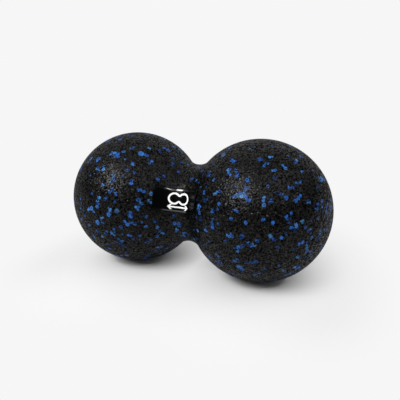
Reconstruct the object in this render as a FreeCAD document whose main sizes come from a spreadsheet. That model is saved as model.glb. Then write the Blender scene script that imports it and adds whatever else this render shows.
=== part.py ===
import FreeCAD, Part
import math
import os

import Sketcher

# Peanut massage ball: two foam balls and the waist between them in one moulding, with a
# raised label on the waist. The long axis is X, the label is on the -Y side and turned up
# towards +Z, and the floor under both balls is Z = 0. Millimetres and degrees.

# Each driving dimension, its value and what it measures.
SIZES = (
    ("ball_diameter", 120.0, "across one ball"),
    ("ball_spacing", 118.0, "from one ball's centre to the other's"),
    ("waist_blend_radius", 21.0, "of the hollow that runs from ball to ball"),
    ("label_length", 39.0, "straight across the waist, along the long axis"),
    ("label_width", 20.0, "straight across, round the waist"),
    ("label_corner_radius", 2.0, "of the label's outline"),
    ("label_thickness", 1.2, "of the label, foam to crown"),
    ("label_bevel", 0.7, "of the label's rim, between its crown and its edge"),
    ("label_turn", 73.0, "of the label round the long axis, from the top to the front"),
)
VALUES = {name: value for name, value, meaning in SIZES}

# A sketch counts its own horizontal axis as -1, and the points of a line or an arc from 1.
H_AXIS, _, START, END, CENTRE = range(-1, 4)

SAME_RADIUS = 1e-4


def add_sizes(doc):
    """The sheet that every sketch and feature takes its sizes from."""
    sheet = doc.addObject("Spreadsheet::Sheet", "sizes")
    for row, (name, value, meaning) in enumerate(SIZES, start=1):
        sheet.set(f"A{row}", name)
        sheet.set(f"B{row}", str(value))
        sheet.set(f"C{row}", meaning)
        sheet.setAlias(f"B{row}", name)
    doc.recompute()


def add_body(doc, name):
    """A body whose own origin stands on the long axis, midway between the balls."""
    body = doc.addObject("PartDesign::Body", name)
    body.Label = name
    body.setExpression(".Placement.Base.z", "sizes.ball_diameter / 2")
    return body


def add_sketch(body, name, plane):
    """An empty sketch on one of the body's own origin planes."""
    sketch = body.newObject("Sketcher::SketchObject", name)
    origin_plane = next(f for f in body.Origin.OriginFeatures if f.Role == plane)
    sketch.AttachmentSupport = [(origin_plane, "")]
    sketch.MapMode = "FlatFace"
    return sketch


def size(sketch, kind, places, value, expression):
    """A dimension of the sketch, bound to the sheet."""
    index = sketch.addConstraint(Sketcher.Constraint(kind, *places, value))
    sketch.setExpression(f"Constraints[{index}]", expression)


def link(sketch, kind, *places):
    """A relation between lines and points of the sketch, with no size of its own."""
    sketch.addConstraint(Sketcher.Constraint(kind, *places))


def add_arc(sketch, centre, radius, start, end):
    circle = Part.Circle(FreeCAD.Vector(*centre, 0), FreeCAD.Vector(0, 0, 1), radius)
    return sketch.addGeometry(Part.ArcOfCircle(circle, start, end))


def add_line(sketch, start, end):
    return sketch.addGeometry(
        Part.LineSegment(FreeCAD.Vector(*start, 0), FreeCAD.Vector(*end, 0))
    )


def draw_half_outline(sketch, ball_end, above=0.0, above_name="0"):
    """The peanut's outline over the long axis: a ball, the waist, a ball, with no corner
    between them. The balls' arcs end at the angle ball_end beyond their tops. A height
    above moves the whole outline outward, over the foam. Gives the three arcs."""
    half_spacing = VALUES["ball_spacing"] / 2
    ball = VALUES["ball_diameter"] / 2 + above
    blend = VALUES["waist_blend_radius"] - above
    blend_height = math.sqrt((ball + blend) ** 2 - half_spacing**2)
    lean = math.atan2(blend_height, half_spacing)

    quarter = math.pi / 2
    left = add_arc(sketch, (-half_spacing, 0), ball, lean, quarter + ball_end)
    waist = add_arc(sketch, (0, blend_height), blend, math.pi + lean, 2 * math.pi - lean)
    right = add_arc(sketch, (half_spacing, 0), ball, quarter - ball_end, math.pi - lean)
    link(sketch, "PointOnObject", left, CENTRE, H_AXIS)
    link(sketch, "PointOnObject", right, CENTRE, H_AXIS)
    for arc, side in ((left, -1), (right, 1)):
        size(
            sketch,
            "DistanceX",
            (H_AXIS, START, arc, CENTRE),
            side * half_spacing,
            f"{side} * sizes.ball_spacing / 2",
        )
    size(sketch, "Radius", (left,), ball, f"sizes.ball_diameter / 2 + {above_name}")
    size(sketch, "Radius", (waist,), blend, f"sizes.waist_blend_radius - {above_name}")
    link(sketch, "Equal", left, right)
    link(sketch, "Tangent", left, START, waist, START)
    link(sketch, "Tangent", waist, END, right, END)
    return left, waist, right


def draw_foam_section(sketch):
    """Half of the foam's section through the long axis, closed by the axis itself."""
    left, waist, right = draw_half_outline(sketch, math.pi / 2)
    reach = VALUES["ball_spacing"] / 2 + VALUES["ball_diameter"] / 2
    axis = add_line(sketch, (-reach, 0), (reach, 0))
    link(sketch, "Coincident", left, END, axis, START)
    link(sketch, "Coincident", right, START, axis, END)
    link(sketch, "PointOnObject", axis, START, H_AXIS)
    link(sketch, "PointOnObject", axis, END, H_AXIS)


def draw_space_over_label(sketch):
    """What lies over the label's crown: from the foam's outline, moved outward by the
    label's thickness, up to a ball's diameter, and from one ball's centre to the other's."""
    thickness = VALUES["label_thickness"]
    left, waist, right = draw_half_outline(sketch, 0, thickness, "sizes.label_thickness")
    half_spacing = VALUES["ball_spacing"] / 2
    crown = VALUES["ball_diameter"] / 2 + thickness
    top = VALUES["ball_diameter"]
    left_side = add_line(sketch, (-half_spacing, crown), (-half_spacing, top))
    roof = add_line(sketch, (-half_spacing, top), (half_spacing, top))
    right_side = add_line(sketch, (half_spacing, top), (half_spacing, crown))
    link(sketch, "Coincident", left, END, left_side, START)
    link(sketch, "Coincident", left_side, END, roof, START)
    link(sketch, "Coincident", roof, END, right_side, START)
    link(sketch, "Coincident", right_side, END, right, START)
    link(sketch, "Vertical", left_side)
    link(sketch, "Vertical", right_side)
    link(sketch, "Horizontal", roof)
    link(sketch, "Vertical", left, CENTRE, left, END)
    link(sketch, "Vertical", right, CENTRE, right, START)
    size(sketch, "DistanceY", (H_AXIS, START, roof, START), top, "sizes.ball_diameter")


def draw_label_outline(sketch):
    """A rectangle with round corners, centred on the waist."""
    half_length = VALUES["label_length"] / 2
    half_width = VALUES["label_width"] / 2
    corner = VALUES["label_corner_radius"]
    across, along = half_length - corner, half_width - corner
    sides = [
        add_line(sketch, (-across, -half_width), (across, -half_width)),
        add_line(sketch, (half_length, -along), (half_length, along)),
        add_line(sketch, (across, half_width), (-across, half_width)),
        add_line(sketch, (-half_length, along), (-half_length, -along)),
    ]
    centres = ((across, -along), (across, along), (-across, along), (-across, -along))
    corners = [
        add_arc(sketch, centre, corner, (turn - 1) * math.pi / 2, turn * math.pi / 2)
        for turn, centre in enumerate(centres)
    ]
    for turn, arc in enumerate(corners):
        link(sketch, "Tangent", sides[turn], END, arc, START)
        link(sketch, "Tangent", arc, END, sides[(turn + 1) % 4], START)
    for arc in corners[1:]:
        link(sketch, "Equal", corners[0], arc)
    for flat, upright in (sides[:2], sides[2:]):
        link(sketch, "Horizontal", flat)
        link(sketch, "Vertical", upright)
    link(sketch, "Symmetric", corners[0], CENTRE, corners[2], CENTRE, H_AXIS, START)
    size(sketch, "Radius", (corners[0],), corner, "sizes.label_corner_radius")
    size(
        sketch,
        "DistanceX",
        (H_AXIS, START, sides[1], START),
        half_length,
        "sizes.label_length / 2",
    )
    size(
        sketch,
        "DistanceY",
        (H_AXIS, START, sides[2], START),
        half_width,
        "sizes.label_width / 2",
    )


def make_foam_body(doc):
    """Both balls and the waist: one section turned once round the long axis."""
    body = add_body(doc, "foam_body")
    section = add_sketch(body, "foam_section", "XZ_Plane")
    draw_foam_section(section)
    doc.recompute()
    turned = body.newObject("PartDesign::Revolution", "foam_turned")
    turned.Profile = section
    turned.ReferenceAxis = (section, ["H_Axis"])
    turned.Angle = 360
    doc.recompute()
    return body


def crown_edges(shape):
    """Names of the edges between the label's crown and its upright edge."""
    ball = VALUES["ball_diameter"] / 2 + VALUES["label_thickness"]
    blend = VALUES["waist_blend_radius"] - VALUES["label_thickness"]
    names = []
    for number, edge in enumerate(shape.Edges, start=1):
        faces = shape.ancestorsOfType(edge, Part.Face)
        crown_faces = 0
        for surface in (face.Surface for face in faces):
            if isinstance(surface, Part.Sphere):
                crown_faces += abs(surface.Radius - ball) < SAME_RADIUS
            elif isinstance(surface, Part.Toroid):
                crown_faces += abs(surface.MinorRadius - blend) < SAME_RADIUS
        if crown_faces == 1:
            names.append(f"Edge{number}")
    return names


def make_waist_label(doc):
    """The label: its outline raised off the long axis, cut from below by the foam's own
    section and from above at its thickness, so that it lies on the waist all over."""
    body = add_body(doc, "waist_label")
    body.Placement.Rotation = FreeCAD.Rotation(FreeCAD.Vector(1, 0, 0), 1)
    body.setExpression(".Placement.Rotation.Angle", "sizes.label_turn")

    outline = add_sketch(body, "label_outline", "XY_Plane")
    draw_label_outline(outline)
    doc.recompute()
    raised = body.newObject("PartDesign::Pad", "label_raised")
    raised.Profile = outline
    raised.setExpression("Length", "sizes.ball_diameter / 2 + sizes.label_thickness")
    doc.recompute()

    seat_section = add_sketch(body, "label_seat_section", "XY_Plane")
    draw_foam_section(seat_section)
    doc.recompute()
    seat = body.newObject("PartDesign::Groove", "label_seat")
    seat.Profile = seat_section
    seat.ReferenceAxis = (seat_section, ["H_Axis"])
    seat.Angle = 360
    doc.recompute()

    crown_section = add_sketch(body, "label_crown_section", "XY_Plane")
    draw_space_over_label(crown_section)
    doc.recompute()
    crown = body.newObject("PartDesign::Groove", "label_crown")
    crown.Profile = crown_section
    crown.ReferenceAxis = (crown_section, ["H_Axis"])
    crown.Angle = 360
    doc.recompute()

    rim = body.newObject("PartDesign::Chamfer", "label_rim")
    rim.Base = (crown, crown_edges(crown.Shape))
    rim.ChamferType = "Equal distance"
    rim.setExpression("Size", "sizes.label_bevel")
    doc.recompute()
    return body


def check(doc, bodies):
    """Stops before anything is written if a feature or a body's shape is bad."""
    for thing in doc.Objects:
        if "Invalid" in thing.State or "Error" in thing.State:
            raise RuntimeError(f"{thing.Name} failed: {thing.State}")
    for body in bodies:
        if body.Shape.isNull() or not body.Shape.isValid() or len(body.Shape.Solids) != 1:
            raise RuntimeError(f"{body.Label} is not one good solid")


doc = FreeCAD.newDocument("peanut_massage_ball")
add_sizes(doc)
bodies = [make_foam_body(doc), make_waist_label(doc)]
doc.recompute()
check(doc, bodies)
os.makedirs("parts", exist_ok=True)
for body in bodies:
    body.Shape.exportStep(f"parts/{body.Label}.step")
    print(body.Label, round(body.Shape.Volume, 1), body.Shape.BoundBox)
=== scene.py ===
import math

import bpy
import numpy as np
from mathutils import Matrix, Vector
from mathutils.geometry import delaunay_2d_cdt


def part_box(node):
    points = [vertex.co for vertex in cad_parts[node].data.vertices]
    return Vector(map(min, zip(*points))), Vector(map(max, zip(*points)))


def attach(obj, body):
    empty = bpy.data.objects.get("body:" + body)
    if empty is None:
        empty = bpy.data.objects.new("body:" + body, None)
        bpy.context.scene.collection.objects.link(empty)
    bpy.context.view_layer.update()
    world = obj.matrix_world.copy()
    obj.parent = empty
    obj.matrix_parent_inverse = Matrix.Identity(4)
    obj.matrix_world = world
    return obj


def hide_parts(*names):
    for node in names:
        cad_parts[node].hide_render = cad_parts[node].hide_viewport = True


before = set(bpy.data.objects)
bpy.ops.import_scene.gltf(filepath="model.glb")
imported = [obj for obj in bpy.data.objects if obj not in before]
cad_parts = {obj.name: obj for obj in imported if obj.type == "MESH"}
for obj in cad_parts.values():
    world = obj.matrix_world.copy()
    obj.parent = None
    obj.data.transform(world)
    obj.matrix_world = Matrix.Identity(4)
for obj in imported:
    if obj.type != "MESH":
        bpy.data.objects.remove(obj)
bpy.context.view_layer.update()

# The view. The camera stands in front of the ball, to its right and a little above, and
# looks down on it. Here and below, lengths are metres and angles degrees where nothing
# else is said.
PICTURE_PIXELS = 400
FOCAL_PIXELS = 439.5
SENSOR_MILLIMETRES = 36.0
CAMERA_TURN = 23.75
CAMERA_RISE = 15.08
CAMERA_DISTANCE = 0.3922
CAMERA_AIM = Vector((0.0040, 0.0, 0.0630))

view_turn, view_rise = math.radians(CAMERA_TURN), math.radians(CAMERA_RISE)
towards_camera = Vector(
    (
        math.sin(view_turn) * math.cos(view_rise),
        -math.cos(view_turn) * math.cos(view_rise),
        math.sin(view_rise),
    )
)
camera = bpy.data.objects.new("camera", bpy.data.cameras.new("camera"))
camera.data.sensor_width = SENSOR_MILLIMETRES
camera.data.lens = FOCAL_PIXELS / PICTURE_PIXELS * SENSOR_MILLIMETRES
camera.location = CAMERA_AIM + CAMERA_DISTANCE * towards_camera
camera.rotation_euler = towards_camera.to_track_quat("Z", "Y").to_euler()
bpy.context.scene.collection.objects.link(camera)
bpy.context.scene.camera = camera


# The foam body. Both balls and the waist between them are one steam-moulded piece of
# expanded polypropylene: black beads with some blue ones among them, pressed flat against
# the mould and fused where they meet, so that each one shows as a cell of its own.
foam_low, foam_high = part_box("foam_body")
BALL_RADIUS = (foam_high.z - foam_low.z) / 2
BALL_CENTRE = foam_high.x - BALL_RADIUS
WAIST_BLEND = 0.021
BEADS = 11400
BEAD_SEED = 1807
TRIES_PER_BEAD = 4
SETTLING_ROUNDS = 3
CORNER_ROUNDING = 0.45
SAME_PLACE = 1e-9
TRIANGLES_TO_THE_RIM = 0

# The outline beside the long axis is an arc of the waist's hollow between two ball arcs.
# LEAN is the angle at a ball's centre from the long axis to where the two meet. It and
# WAIST_ANGLE are in radians, and a run is a length along the outline.
BLEND_HEIGHT = math.sqrt((BALL_RADIUS + WAIST_BLEND) ** 2 - BALL_CENTRE**2)
LEAN = math.atan2(BLEND_HEIGHT, BALL_CENTRE)
WAIST_ANGLE = math.pi / 2 - LEAN
WAIST_RUN = WAIST_BLEND * WAIST_ANGLE
WHOLE_RUN = WAIST_RUN + BALL_RADIUS * (math.pi - LEAN)


def on_foam(run, turn, depth=0.0):
    """Places and outward directions on the foam. run follows the outline from the middle
    of the waist, turn goes round the long axis from the top to the front."""
    side, length = np.sign(run), np.abs(run)
    in_waist = length < WAIST_RUN
    hollow = length / WAIST_BLEND
    bulge = LEAN + (length - WAIST_RUN) / BALL_RADIUS
    lean_in = np.where(in_waist, -np.sin(hollow), -np.cos(bulge))
    lean_out = np.where(in_waist, np.cos(hollow), np.sin(bulge))
    radius = np.where(in_waist, -WAIST_BLEND, BALL_RADIUS)
    along = np.where(in_waist, 0, BALL_CENTRE) + lean_in * radius
    out = np.where(in_waist, BLEND_HEIGHT, 0) + lean_out * radius
    around = np.stack([0 * turn, -np.sin(turn), np.cos(turn)], -1)
    axis = np.array([1.0, 0.0, 0.0])
    outward = (side * lean_in)[:, None] * axis + lean_out[:, None] * around
    places = (side * along)[:, None] * axis + out[:, None] * around
    places[:, 2] += BALL_RADIUS
    return places - np.reshape(depth, (-1, 1)) * outward, outward


def under(places):
    """The run and turn of the point of the foam that is nearest to each place."""
    x, y, z = places[:, 0], places[:, 1], places[:, 2] - BALL_RADIUS
    out, along = np.hypot(y, z), np.abs(x)
    hollow = np.arctan2(along, BLEND_HEIGHT - out)
    bulge = np.arctan2(out, BALL_CENTRE - along)
    run = np.where(
        hollow < WAIST_ANGLE, WAIST_BLEND * hollow, WAIST_RUN + BALL_RADIUS * (bulge - LEAN)
    )
    return np.sign(x) * run, np.arctan2(-y, z)


def unrolled(run, turn):
    """The foam's surface laid out on a plane, round a point for the left end, so that
    every small angle on it keeps its size. The right end is infinitely far out."""
    length = np.abs(run)
    reach = math.sqrt((BLEND_HEIGHT + WAIST_BLEND) / (BLEND_HEIGHT - WAIST_BLEND))
    scale = 2 * WAIST_BLEND / math.sqrt(BLEND_HEIGHT**2 - WAIST_BLEND**2)
    hollow = np.minimum(length / WAIST_BLEND, WAIST_ANGLE)
    bulge = LEAN + np.maximum(length - WAIST_RUN, 0) / BALL_RADIUS
    stretch = scale * np.arctan(reach * np.tan(hollow / 2))
    stretch += np.log(np.tan(bulge / 2) / math.tan(LEAN / 2))
    radius = np.exp(np.sign(run) * stretch)
    return np.stack([radius * np.cos(turn), radius * np.sin(turn)], -1)


def neighbours(run, turn):
    """Threes of beads that meet at one point. The last bead is at the right end."""
    plane = [Vector(place) for place in unrolled(run[:-1], turn[:-1])]
    found = delaunay_2d_cdt(plane, [], [], TRIANGLES_TO_THE_RIM, SAME_PLACE)
    given = np.array([same[0] for same in found[3]])
    threes = given[np.array(found[2])]
    starts, ends = threes.ravel(), np.roll(threes, -1, axis=1).ravel()
    last = len(run) - 1
    outer = ~np.isin(starts * len(run) + ends, ends * len(run) + starts)
    cap = np.stack([ends[outer], starts[outer], np.full(outer.sum(), last)], -1)
    return np.concatenate([threes, cap])


def meeting_points(places, threes):
    """The run and turn of the point where three beads meet, as far from one as from the
    others, but drawn in towards their middle, so that no border between two is cut short."""
    a, b, c = (places[threes[:, k]] for k in range(3))
    p, q = b - a, c - a
    cross = np.cross(p, q)
    q_square, p_square, cross_square = (
        (v * v).sum(1, keepdims=True) for v in (q, p, cross)
    )
    even = a + (q_square * np.cross(cross, p) + p_square * np.cross(q, cross)) / (
        2 * cross_square
    )
    middle = (a + b + c) / 3
    return under(even + CORNER_ROUNDING * (middle - even))


def settle(run, turn, threes):
    """Each bead moved to the middle of its own cell."""
    corners, _ = on_foam(*meeting_points(on_foam(run, turn)[0], threes))
    middle = np.zeros((len(run), 3))
    for k in range(3):
        np.add.at(middle, threes[:, k], corners)
    count = np.bincount(threes.ravel(), minlength=len(run))[:, None]
    new_run, new_turn = under(middle / count)
    new_run[-1], new_turn[-1] = run[-1], turn[-1]
    return new_run, new_turn


# The beads lie evenly all over: of many tries along the outline, more are kept where the
# foam is wider round. Settling then spaces them as beads that press on each other.
chance = np.random.default_rng(BEAD_SEED)
tries = chance.uniform(-WHOLE_RUN, WHOLE_RUN, TRIES_PER_BEAD * BEADS)
on_top, _ = on_foam(tries, 0 * tries)
kept = on_top[:, 2] - BALL_RADIUS > chance.uniform(0, BALL_RADIUS, len(tries))
run = np.append(tries[kept][: BEADS - 1], WHOLE_RUN)
turn = np.append(chance.uniform(-math.pi, math.pi, BEADS - 1), 0)
threes = neighbours(run, turn)
for settling in range(SETTLING_ROUNDS):
    run, turn = settle(run, turn, threes)
    threes = neighbours(run, turn)

# Round each bead, its corners in order, counted from the way along the outline.
SMALL_STEP = 1e-5
bead_places, bead_outward = on_foam(run, turn)
inwards = np.where(run < 0, 1, -1)
ahead, _ = on_foam(run + inwards * SMALL_STEP, turn)
ahead = (ahead - bead_places) * inwards[:, None]
beside = np.cross(bead_outward, ahead)
corner_run, corner_turn = meeting_points(bead_places, threes)
corner_places, _ = on_foam(corner_run, corner_turn)
bead = threes.ravel()
corner = np.repeat(np.arange(len(threes)), 3)
spoke = corner_places[corner] - bead_places[bead]
angle = np.arctan2((spoke * beside[bead]).sum(1), (spoke * ahead[bead]).sum(1))
order = np.lexsort((angle, bead))
bead, corner, spoke, angle = bead[order], corner[order], spoke[order], angle[order]
sides = np.bincount(bead)
first_side = np.cumsum(sides) - sides
side_number = np.arange(len(bead))
is_last_side = side_number + 1 == (first_side + sides)[bead]
next_side = np.where(is_last_side, first_side[bead], side_number + 1)

# A bead's flat top tilts a little, and falls to the border that it shares with the beads
# beside it. Some of the points where three meet are deeper pits. A border reaches no
# further than BORDER_LIMIT of the way from its corner to the bead's middle.
BORDER_DEPTH = 0.00007
DEPTH_RANGE = (0.5, 1.3)
PIT_DEPTH = 0.00012
PIT_SHARE = 0.25
BORDER_WIDTH = 0.00030
WIDTH_RANGE = (0.8, 1.5)
BORDER_LIMIT = 0.4
BEAD_TILT = 0.00006

corner_depth = BORDER_DEPTH * chance.uniform(*DEPTH_RANGE, len(threes))
corner_depth += PIT_DEPTH * (chance.uniform(0, 1, len(threes)) < PIT_SHARE)
borders, _ = on_foam(corner_run, corner_turn, corner_depth)
reach = np.linalg.norm(spoke, axis=1)
drawn_in = np.minimum(BORDER_WIDTH * chance.uniform(*WIDTH_RANGE, len(bead)) / reach, BORDER_LIMIT)
low_side = chance.uniform(-math.pi, math.pi, BEADS)[bead]
top_depth = BEAD_TILT * chance.uniform(0, 1, BEADS)[bead]
top_depth = top_depth * (0.5 + 0.5 * np.cos(angle - low_side))
tops, _ = on_foam(*under(bead_places[bead] + spoke * (1 - drawn_in)[:, None]), top_depth)
top_corner = len(threes) + side_number
slopes = np.stack([corner, corner[next_side], top_corner[next_side], top_corner], -1)
flats = np.split(top_corner, first_side[1:])
foam_mesh = bpy.data.meshes.new("foam_beads")
foam_faces = slopes.tolist() + [flat.tolist() for flat in flats]
foam_mesh.from_pydata(np.concatenate([borders, tops]).tolist(), [], foam_faces)
foam_mesh.shade_smooth()
foam = bpy.data.objects.new("foam_beads", foam_mesh)
bpy.context.scene.collection.objects.link(foam)

# Where blue beads lie in streaks and clumps, as they show in the picture: each is a stroke
# from one of its pixels to another. STROKE_REACH, to either side of a stroke, is in pixels
# too. A bead under a stroke that lies more than HIDDEN_BEHIND further back than the nearest
# foam there is behind a ball, so the stroke isn't for it.
BLUE_STROKES = (
    (137, 189, 150, 193), (159, 180, 161, 182), (131, 182, 134, 180), (111, 153, 117, 156),
    (142, 153, 146, 156), (151, 163, 152, 161), (98, 197, 98, 208), (89, 209, 93, 211),
    (109, 208, 109, 213), (144, 227, 145, 228), (158, 228, 163, 234), (102, 236, 103, 237),
    (119, 239, 121, 241), (98, 158, 98, 160), (103, 170, 104, 168), (133, 165, 134, 166),
    (103, 185, 104, 186), (116, 194, 117, 195), (137, 206, 138, 208), (117, 211, 119, 211),
    (125, 223, 126, 224), (128, 235, 130, 236), (173, 222, 175, 223), (112, 234, 114, 235),
    (232, 198, 240, 194), (240, 194, 248, 200), (229, 169, 229, 175), (264, 198, 264, 205),
    (281, 194, 287, 200), (285, 216, 292, 219), (268, 235, 273, 240), (228, 236, 234, 235),
    (204, 190, 204, 191), (199, 205, 199, 211), (320, 179, 323, 181), (306, 249, 312, 253),
    (318, 205, 317, 209), (283, 166, 284, 168), (247, 182, 249, 181), (245, 224, 246, 226),
    (232, 161, 236, 162), (269, 156, 271, 157), (272, 171, 274, 171), (296, 200, 299, 196),
    (308, 202, 310, 202), (270, 201, 272, 202), (219, 202, 220, 204), (216, 217, 217, 218),
    (263, 220, 265, 221), (271, 222, 272, 223), (252, 245, 254, 246), (280, 236, 282, 238),
    (300, 243, 304, 241), (236, 259, 236, 261), (205, 228, 207, 233), (296, 268, 299, 267),
)
STROKE_REACH = 1.7
HIDDEN_BEHIND = 0.012

picture_right = Vector((0, 0, 1)).cross(towards_camera).normalized()
picture_up = towards_camera.cross(picture_right)
from_camera = bead_places - np.array(camera.location)
distance = -from_camera @ np.array(towards_camera)
picture_x = PICTURE_PIXELS / 2 + FOCAL_PIXELS * (from_camera @ np.array(picture_right)) / distance
picture_y = PICTURE_PIXELS / 2 - FOCAL_PIXELS * (from_camera @ np.array(picture_up)) / distance
facing = (from_camera * bead_outward).sum(1) < 0
blue = np.zeros(BEADS, bool)
for x1, y1, x2, y2 in BLUE_STROKES:
    stroke = np.array([x2 - x1, y2 - y1], float)
    from_start = np.stack([picture_x - x1, picture_y - y1], -1)
    share = np.clip(from_start @ stroke / (stroke @ stroke), 0, 1)
    off_stroke = np.linalg.norm(from_start - share[:, None] * stroke, axis=1)
    nearest = distance[facing & (off_stroke < 2 * STROKE_REACH)].min()
    blue |= facing & (off_stroke < STROKE_REACH) & (distance < nearest + HIDDEN_BEHIND)
in_stroke = blue.copy()

# The other blue beads are strewn by chance: mostly one by one, some in clumps that grow
# from bead to neighbour. On the side that the picture shows they are fewer, because the
# strokes are there too, so that every side ends up with about as many blue beads.
BLUE_SHARE = 0.104
STREWN_IN_VIEW = 0.75
CLUMP_SIZES = (1, 1, 1, 1, 1, 1, 2, 2, 2, 3)

touching = [set() for _ in range(BEADS)]
for three in threes.tolist():
    for k in range(3):
        touching[three[k]].update((three[k - 1], three[k - 2]))
while blue.sum() < BLUE_SHARE * BEADS:
    start = int(chance.integers(BEADS))
    if blue[start] or any(blue[k] for k in touching[start]):
        continue
    if facing[start] and chance.uniform() > STREWN_IN_VIEW:
        continue
    clump = [start]
    for _ in range(int(chance.choice(CLUMP_SIZES)) - 1):
        clump.append(int(chance.choice(sorted(touching[clump[-1]]))))
    blue[clump] = True

# Each corner of a face knows its bead: whether it is blue, the bead's tone, which in a stroke
# is raised, partly for those beads' lighter blue and partly as painted sheen on the side in
# view, and whether the corner lies on a border.
STROKE_TONES_WITH_SHEEN = (0.3, 1.3)
stroke_tone_with_sheen, strewn_tone = chance.uniform(*STROKE_TONES_WITH_SHEEN, BEADS), chance.uniform(0, 1, BEADS)
tone = np.where(in_stroke, stroke_tone_with_sheen, strewn_tone)
owner = np.concatenate([np.repeat(bead, 4), bead])
slope_on_border = (1, 1, 0, 0)
facts = np.zeros((len(owner), 4), np.float32)
facts[:, 0] = blue[owner]
facts[:, 1] = tone[owner]
facts[: 4 * len(slopes), 2] = np.tile(slope_on_border, len(slopes))
facts[:, 3] = 1
foam_facts = foam_mesh.attributes.new("bead", "FLOAT_COLOR", "CORNER")
foam_facts.data.foreach_set("color", facts.ravel())


class Link:
    """A socket of a material's nodes. What is worked out from such sockets is written as
    it would be for plain numbers, and each step becomes a node."""

    def __init__(self, nodes, socket=None):
        self.nodes = nodes
        self.socket = socket

    def node(self, kind, settings, sockets, output=0):
        """A new node of this kind, and its output socket of that name or number."""
        made = self.nodes.new("ShaderNode" + kind)
        for name, value in settings.items():
            setattr(made, name, value)
        for name, value in sockets.items():
            if isinstance(value, Link):
                self.nodes.id_data.links.new(value.socket, made.inputs[name])
            else:
                made.inputs[name].default_value = value
        return Link(self.nodes, made.outputs[output] if made.outputs else None)

    def maths(self, operation, *values):
        return self.node("Math", {"operation": operation}, dict(enumerate(values)))

    def __add__(self, other):
        return self.maths("ADD", self, other)

    def __sub__(self, other):
        return self.maths("SUBTRACT", self, other)

    def __rsub__(self, other):
        return self.maths("SUBTRACT", other, self)

    def __mul__(self, other):
        return self.maths("MULTIPLY", self, other)

    __radd__, __rmul__ = __add__, __mul__

    def __abs__(self):
        return self.maths("ABSOLUTE", self)

    def or_more(self, other):
        return self.maths("MAXIMUM", self, other)

    def and_across(self, other):
        """The straight distance that this and the other, square to it, come to."""
        return self.maths("SQRT", self * self + other * other)

    def ramp(self, start, end, low=0.0, high=1.0):
        """From low to high, smoothly, as this goes from start to end."""
        values = {"Value": self, "From Min": start, "From Max": end}
        values |= {"To Min": low, "To Max": high}
        return self.node("MapRange", {"interpolation_type": "SMOOTHSTEP"}, values)

    def blend(self, without, with_all):
        """One colour where this is 0 and the other where it is 1."""
        colours = {0: self, 6: without, 7: with_all}
        return self.node("Mix", {"data_type": "RGBA"}, colours, 2)

    def vector(self, operation, *values):
        return self.node("VectorMath", {"operation": operation}, dict(enumerate((self, *values))))

    def towards(self, direction):
        """How far this place or direction goes in the given direction."""
        return self.node("VectorMath", {"operation": "DOT_PRODUCT"}, {0: self, 1: direction}, 1)

    def part(self, name):
        return self.node("SeparateXYZ", {}, {0: self}, name)


def new_material(name):
    """An empty material and the start of its nodes."""
    material = bpy.data.materials.new(name)
    material.use_nodes = True
    material.node_tree.nodes.clear()
    return material, Link(material.node_tree.nodes)


# The foam's finish. The mould leaves a fine grain on the beads, and each grain has its own
# tilt and its own share of matt and glossy. About a third of the black grains are lighter
# than the rest. A blue bead is royal or sky blue, and deeper where its tone and the grain's
# are low. In a stroke that tone is raised, partly as painted sheen.
BLACK = (0.0008, 0.0009, 0.0009, 1)
BLACK_LIT = (0.0192, 0.0188, 0.0171, 1)
DEEP_BLUE = (0.002, 0.009, 0.04, 1)
ROYAL_BLUE = (0.022, 0.112, 0.43, 1)
SKY_BLUE = (0.062, 0.200, 0.42, 1)
GRAINS_PER_METRE = 1050
GRAIN_TILT = 0.32
LIT_FROM = 0.62
SKY_BLUE_RANGE = (0.4, 1.1)
HUES_PER_TONE = 7
TONE_WEIGHT, SPECKLE_WEIGHT = 0.8, 1.2
BRIGHT_BLUE_RANGE = (0.5, 1.9)
BORDER_BLACK = 0.95
MATT_ROUGHNESS = 0.9
GLOSSY_ROUGHNESS = 0.32
GLOSSY_SHARE = 0.45

material, new = new_material("foam")
fact = new.node("Attribute", {"attribute_name": "bead"}, {}, "Vector")
is_blue, bead_tone_and_sheen, on_border = (fact.part(name) for name in "XYZ")
foam_place = new.node("TexCoord", {}, {}, "Object")
grain = new.node("TexVoronoi", {}, {"Vector": foam_place, "Scale": GRAINS_PER_METRE}, "Color")
speckle = grain.part("X")
black = speckle.ramp(LIT_FROM, 1.0).blend(BLACK, BLACK_LIT)
hue = new.maths("FRACT", bead_tone_and_sheen * HUES_PER_TONE)
azure = hue.ramp(*SKY_BLUE_RANGE).blend(ROYAL_BLUE, SKY_BLUE)
# A bead's tone, raised in strokes partly as painted sheen, lightens its blue.
brightness = bead_tone_and_sheen * TONE_WEIGHT + speckle * SPECKLE_WEIGHT
azure = brightness.ramp(*BRIGHT_BLUE_RANGE).blend(DEEP_BLUE, azure)
colour = is_blue.blend(black, azure)
colour = (on_border * BORDER_BLACK).blend(colour, BLACK)
upright = new.node("NewGeometry", {}, {}, "Normal")
grain_tilt = grain.vector("MULTIPLY_ADD", (GRAIN_TILT,) * 3, (-GRAIN_TILT / 2,) * 3)
tilted = upright.vector("ADD", grain_tilt).vector("NORMALIZE")
finish = {"Base Color": colour, "Normal": tilted, "Roughness": MATT_ROUGHNESS}
matt = new.node("BsdfPrincipled", {}, finish | {"Specular IOR Level": 0.0})
glossy = new.node("BsdfPrincipled", {}, finish | {"Roughness": GLOSSY_ROUGHNESS})
shine = grain.part("Y").ramp(0.0, 1.0) * GLOSSY_SHARE
surface = new.node("MixShader", {}, {"Fac": shine, 1: matt, 2: glossy})
new.node("OutputMaterial", {}, {"Surface": surface})
foam.data.materials.append(material)
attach(foam, "root")
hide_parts("foam_body")


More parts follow.
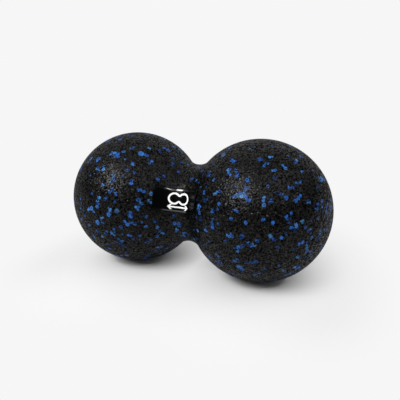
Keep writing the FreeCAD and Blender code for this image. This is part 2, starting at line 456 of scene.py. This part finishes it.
# The label. A black film with a white print, under a dome of resin, glued to the front of
# the waist. The resin has run to the film's edge and set there with a steep round rim and
# a gentle shoulder inside it, which is glossy along the two long sides.
label_low, label_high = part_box("waist_label")
LABEL_TURN = 73
LABEL_HALF_LENGTH = (label_high.x - label_low.x) / 2
LABEL_HALF_WIDTH = 0.010
LABEL_CORNER = 0.002
CORNER_GROWTH = 0.8
ROUNDEST_CORNER = 0.98
LABEL_SEAT = 0.0003
RIM_WIDTH = 0.0006
RIM_HEIGHT = 0.00095
SHOULDER_WIDTH = 0.0026
SHOULDER_HEIGHT = 0.00015
SPINE_GAP = 0.0003
RIM_STEPS = 6
SHOULDER_STEPS = 12
CROWN_STEPS = 6
LONG_STEPS = 34
SHORT_STEPS = 7
CORNER_STEPS = 8


def upper_half(inset):
    """Half of the label's outline, drawn in by inset, from the right end to the left. Its
    corners get rounder on the way in, as the resin's do."""
    half_length, half_width = LABEL_HALF_LENGTH - inset, LABEL_HALF_WIDTH - inset
    corner = min(LABEL_CORNER + CORNER_GROWTH * inset, half_width * ROUNDEST_CORNER)
    x, y = half_length - corner, half_width - corner
    right_end = [(half_length, y * k / SHORT_STEPS) for k in range(SHORT_STEPS)]
    angles = [math.pi / 2 * k / CORNER_STEPS for k in range(CORNER_STEPS + 1)]
    round_right = [(x + corner * math.cos(a), y + corner * math.sin(a)) for a in angles]
    long_side = [(x - 2 * x * k / LONG_STEPS, half_width) for k in range(1, LONG_STEPS // 2)]
    quarter = right_end + round_right + long_side
    return quarter + [(0, half_width)] + [(-x, y) for x, y in reversed(quarter)]


def over_foam(x, across, height):
    """A place on the label, at a height over the foam that it lies on."""
    if abs(x) < BALL_CENTRE * (WAIST_BLEND - height) / (BALL_RADIUS + WAIST_BLEND):
        radius = BLEND_HEIGHT - math.sqrt((WAIST_BLEND - height) ** 2 - x**2)
    else:
        radius = math.sqrt((BALL_RADIUS + height) ** 2 - (abs(x) - BALL_CENTRE) ** 2)
    out = math.sqrt(radius**2 - across**2)
    sine, cosine = math.sin(math.radians(LABEL_TURN)), math.cos(math.radians(LABEL_TURN))
    return (x, across * cosine - out * sine, BALL_RADIUS + across * sine + out * cosine)


def dome(inset):
    """How high the resin stands at a distance in from the edge."""
    rim = RIM_HEIGHT * math.sqrt(1 - max(1 - inset / RIM_WIDTH, 0) ** 2)
    return rim + SHOULDER_HEIGHT * (1 - max(1 - inset / SHOULDER_WIDTH, 0) ** 2)


# The label's rings, from the middle of its underside out to the edge and back over the
# top. The flat place is where a point lies on the film, along, across and in from the
# edge, in millimetres.
MILLIMETRES = 1000
rim_angles = [math.pi / 2 * k / RIM_STEPS for k in range(RIM_STEPS)]
rim_insets = [RIM_WIDTH * (1 - math.cos(a)) for a in rim_angles]
rim_insets += np.linspace(RIM_WIDTH, SHOULDER_WIDTH, SHOULDER_STEPS, endpoint=False).tolist()
crown_insets = np.linspace(SHOULDER_WIDTH, LABEL_HALF_WIDTH - SPINE_GAP, CROWN_STEPS).tolist()
rings = [(inset, -LABEL_SEAT) for inset in reversed(rim_insets[:1] + crown_insets)]
rings += [(inset, dome(inset)) for inset in rim_insets + crown_insets]
label_places, flat_places = [], []
for inset, height in rings:
    half = upper_half(inset)
    whole = half + [(x, -y) for x, y in reversed(half[1:-1])]
    label_places += [over_foam(x, y, height) for x, y in whole]
    flat_places += [(MILLIMETRES * x, MILLIMETRES * y, MILLIMETRES * inset) for x, y in whole]
count = len(whole)
label_faces = []
for ring in range(len(rings) - 1):
    for k in range(count):
        a, b = ring * count + k, ring * count + (k + 1) % count
        label_faces.append((a, b, b + count, a + count))

# The narrow gap that is left inside the first and the last ring is closed by strips from
# one long side to the other.
half_count = count // 2
strip = [(0, 1, count - 1), (half_count - 1, half_count, half_count + 1)]
strip += [(k, k + 1, count - k - 1, count - k) for k in range(1, half_count - 1)]
for start, flip in ((0, -1), (len(rings) * count - count, 1)):
    label_faces += [tuple(start + k for k in face[::flip]) for face in strip]
label_mesh = bpy.data.meshes.new("label_resin")
label_mesh.from_pydata(label_places, [], label_faces)
label_mesh.shade_smooth()
label_flat = label_mesh.attributes.new("flat_place", "FLOAT_VECTOR", "POINT")
label_flat.data.foreach_set("vector", np.array(flat_places, np.float32).ravel())
label = bpy.data.objects.new("label_resin", label_mesh)
bpy.context.scene.collection.objects.link(label)

# The print, in millimetres on the flat film: the ball's own outline, and under it an
# arrow with two heads for rolling it to and fro. A STROKE is half the width of its line.
FILM_BLACK = (0.0006, 0.0008, 0.0008, 1)
PRINT_WHITE = (0.86, 0.86, 0.85, 1)
SIGN_HEIGHT = 1.4
SIGN_BALL = 4.3
SIGN_STROKE = 0.72
SIGN_SCALE = SIGN_BALL / BALL_RADIUS
ARROW_HEIGHT = -5.6
ARROW_REACH = 8.0
ARROW_STROKE = 0.58
HEAD_REACH = 2.1
HEAD_STROKE = 1.4 * ARROW_STROKE
PRINT_EDGE = 0.08

material, new = new_material("label")
flat_place = new.node("Attribute", {"attribute_name": "flat_place"}, {}, "Vector")
along, across, from_edge = (flat_place.part(name) for name in "XYZ")


def printed(from_line, stroke):
    """Where there is ink, with a stroke of this half width along a line."""
    return 1 - from_line.ramp(stroke, stroke + PRINT_EDGE)


aside = abs(along)
off_axis = abs(across - SIGN_HEIGHT)
below_blend = BLEND_HEIGHT * SIGN_SCALE - off_axis
to_ball = (aside - BALL_CENTRE * SIGN_SCALE).and_across(off_axis) - SIGN_BALL
to_waist = WAIST_BLEND * SIGN_SCALE - aside.and_across(below_blend)
in_waist = new.maths("LESS_THAN", aside, below_blend * math.tan(WAIST_ANGLE))
to_outline = to_ball + in_waist * (to_waist - to_ball)
outline = printed(abs(to_outline), SIGN_STROKE)
off_shaft = abs(across - ARROW_HEIGHT)
shaft = printed(off_shaft.or_more(aside - ARROW_REACH), ARROW_STROKE)
to_head = abs(aside + off_shaft - ARROW_REACH - ARROW_STROKE)
heads = printed(to_head, HEAD_STROKE) * printed(off_shaft, HEAD_REACH)
ink = outline.or_more(shaft.or_more(heads))

# The gloss of the shoulder lies between its outer and its inner border, in from the
# edge, and ends before the label's ends. These ranges are millimetres too. The rest of
# the resin has a faint haze and mirrors next to nothing, so the film looks deep black.
GLOSS_OUTER = (0.5, 0.9)
GLOSS_INNER = (1.5, 2.2)
GLOSS_LEFT = (-14, -11)
GLOSS_RIGHT = (14, 17)
GLOSS_SIDES = (3, 5)
GLOSS_ROUGHNESS = 0.06
GLOSS_IOR = 1.8
RESIN_MIRRORING = 0.06
HAZE_PER_METRE = 420
HAZE_DETAIL = 2
HAZE_RANGE = (0.3, 0.8)
HAZE_ROUGHNESS = (0.20, 0.30)
HAZE_HEIGHT = 0.00003
HAZE_STRENGTH = 0.15

gloss = from_edge.ramp(*GLOSS_OUTER) * (1 - from_edge.ramp(*GLOSS_INNER))
gloss = gloss * (1 - along.ramp(*GLOSS_RIGHT)) * along.ramp(*GLOSS_LEFT)
gloss = gloss * abs(across).ramp(*GLOSS_SIDES)
label_place = new.node("TexCoord", {}, {}, "Object")
noise = {"Vector": label_place, "Scale": HAZE_PER_METRE, "Detail": HAZE_DETAIL}
haze = new.node("TexNoise", {}, noise)
waviness = {"Strength": HAZE_STRENGTH, "Distance": HAZE_HEIGHT, "Height": haze}
resin = {
    "Base Color": ink.blend(FILM_BLACK, PRINT_WHITE),
    "Roughness": haze.ramp(*HAZE_RANGE, *HAZE_ROUGHNESS),
    "Specular IOR Level": RESIN_MIRRORING,
    "Coat Weight": gloss,
    "Coat Roughness": GLOSS_ROUGHNESS,
    "Coat IOR": GLOSS_IOR,
    "Normal": new.node("Bump", {}, waviness),
}
new.node("OutputMaterial", {}, {"Surface": new.node("BsdfPrincipled", {}, resin)})
label.data.materials.append(material)
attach(label, "root")
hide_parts("waist_label")


# The studio's floor. Paper that keeps the ball's shadow near it, painted a shade greyer there
# than white, and runs out to a glowing background of the same white, with a painted shadow
# a little greyer beside and behind the ball. In front, past the picture's edge, it is dim,
# so that the foam and the label have dark to mirror.
WHITE = (0.922, 0.922, 0.922, 1)
PAINTED_SHADOW_WHITE = (0.83, 0.83, 0.832, 1)
PAPER_WITH_PAINTED_SHADE = (0.78, 0.78, 0.78, 1)
DIM = (0.20, 0.20, 0.202, 1)
FLOOR_HALF = 6.0

# The paper, with its real shadow and its painted shade, and the painted shadow in the white
# fade with the distance from the ball's two resting points, and sooner to the sides. The
# other two ranges are from the middle, backward and towards the camera.
SHADOW_FADE = (0.03, 0.15)
FADE_NARROWING = 1.8
BEHIND = (-0.12, -0.04)
BEHIND_FADE = (0.10, 0.22)
PAPER_END = (0.20, 0.32)

floor_mesh = bpy.data.meshes.new("floor")
square = ((-1, -1), (1, -1), (1, 1), (-1, 1))
floor_corners = [(FLOOR_HALF * x, FLOOR_HALF * y, 0) for x, y in square]
floor_mesh.from_pydata(floor_corners, [], [(0, 1, 2, 3)])
floor = bpy.data.objects.new("floor", floor_mesh)
bpy.context.scene.collection.objects.link(floor)
material, new = new_material("floor")
floor_place = new.node("TexCoord", {}, {}, "Object")
beyond = (abs(floor_place.part("X")) - BALL_CENTRE) * FADE_NARROWING
back = floor_place.part("Y")
from_contact = beyond.and_across(back)
level_view = Vector((towards_camera.x, towards_camera.y, 0)).normalized()
in_front = floor_place.towards(level_view).ramp(*PAPER_END)
# Painted shadow: the glowing white is greyer beside and behind the ball.
painted_shadow = back.ramp(*BEHIND) * (1 - from_contact.ramp(*BEHIND_FADE))
far_colour = in_front.blend(painted_shadow.blend(WHITE, PAINTED_SHADOW_WHITE), DIM)
# The paper near the ball is painted a shade greyer than the white, as painted shade.
near_floor = new.node("BsdfDiffuse", {}, {"Color": PAPER_WITH_PAINTED_SHADE})
far_floor = new.node("Emission", {}, {"Color": far_colour})
faded = {"Fac": from_contact.ramp(*SHADOW_FADE), 1: near_floor, 2: far_floor}
new.node("OutputMaterial", {}, {"Surface": new.node("MixShader", {}, faded)})
floor.data.materials.append(material)

# The studio's light. One broad soft lamp, up in front at the left, and soft light from all
# round: white behind the ball, bright overhead, and dim in front but for a thin band, which
# the label's glossy shoulder mirrors.
KEY_DIRECTION = Vector((-0.356, -0.645, 0.676))
KEY_STRENGTH = 2.3
KEY_SPREAD = 30
OVERHEAD = (0.72, 0.72, 0.725, 1)
BAND_LIGHT = (8.0, 8.0, 8.0, 1)

# Each range is of how far a direction of length 1 goes upward, or away from the camera.
OVERHEAD_RISE = (0.35, 0.85)
BACKDROP_AWAY = (0.3, 0.85)
BACKDROP_TOP = (0.6, 0.95)
BAND_FOOT = (0.665, 0.68)
BAND_TOP = (0.715, 0.73)
BAND_AWAY = (-0.1, 0.2)

world = bpy.data.worlds.new("studio")
world.use_nodes = True
world.node_tree.nodes.clear()
bpy.context.scene.world = world
new = Link(world.node_tree.nodes)
direction = new.node("TexCoord", {}, {}, "Generated")
away = direction.towards(-level_view)
upward = direction.part("Z")
backdrop = away.ramp(*BACKDROP_AWAY) * (1 - upward.ramp(*BACKDROP_TOP))
glow = backdrop.blend(upward.ramp(*OVERHEAD_RISE).blend(DIM, OVERHEAD), WHITE)
band = upward.ramp(*BAND_FOOT) * (1 - upward.ramp(*BAND_TOP)) * (1 - away.ramp(*BAND_AWAY))
background = {"Color": band.blend(glow, BAND_LIGHT)}
new.node("OutputWorld", {}, {"Surface": new.node("Background", {}, background)})

key = bpy.data.objects.new("key", bpy.data.lights.new("key", "SUN"))
key.data.energy = KEY_STRENGTH
key.data.angle = math.radians(KEY_SPREAD)
key.rotation_euler = KEY_DIRECTION.to_track_quat("Z", "Y").to_euler()
bpy.context.scene.collection.objects.link(key)

bpy.context.scene.view_settings.view_transform = "Standard"
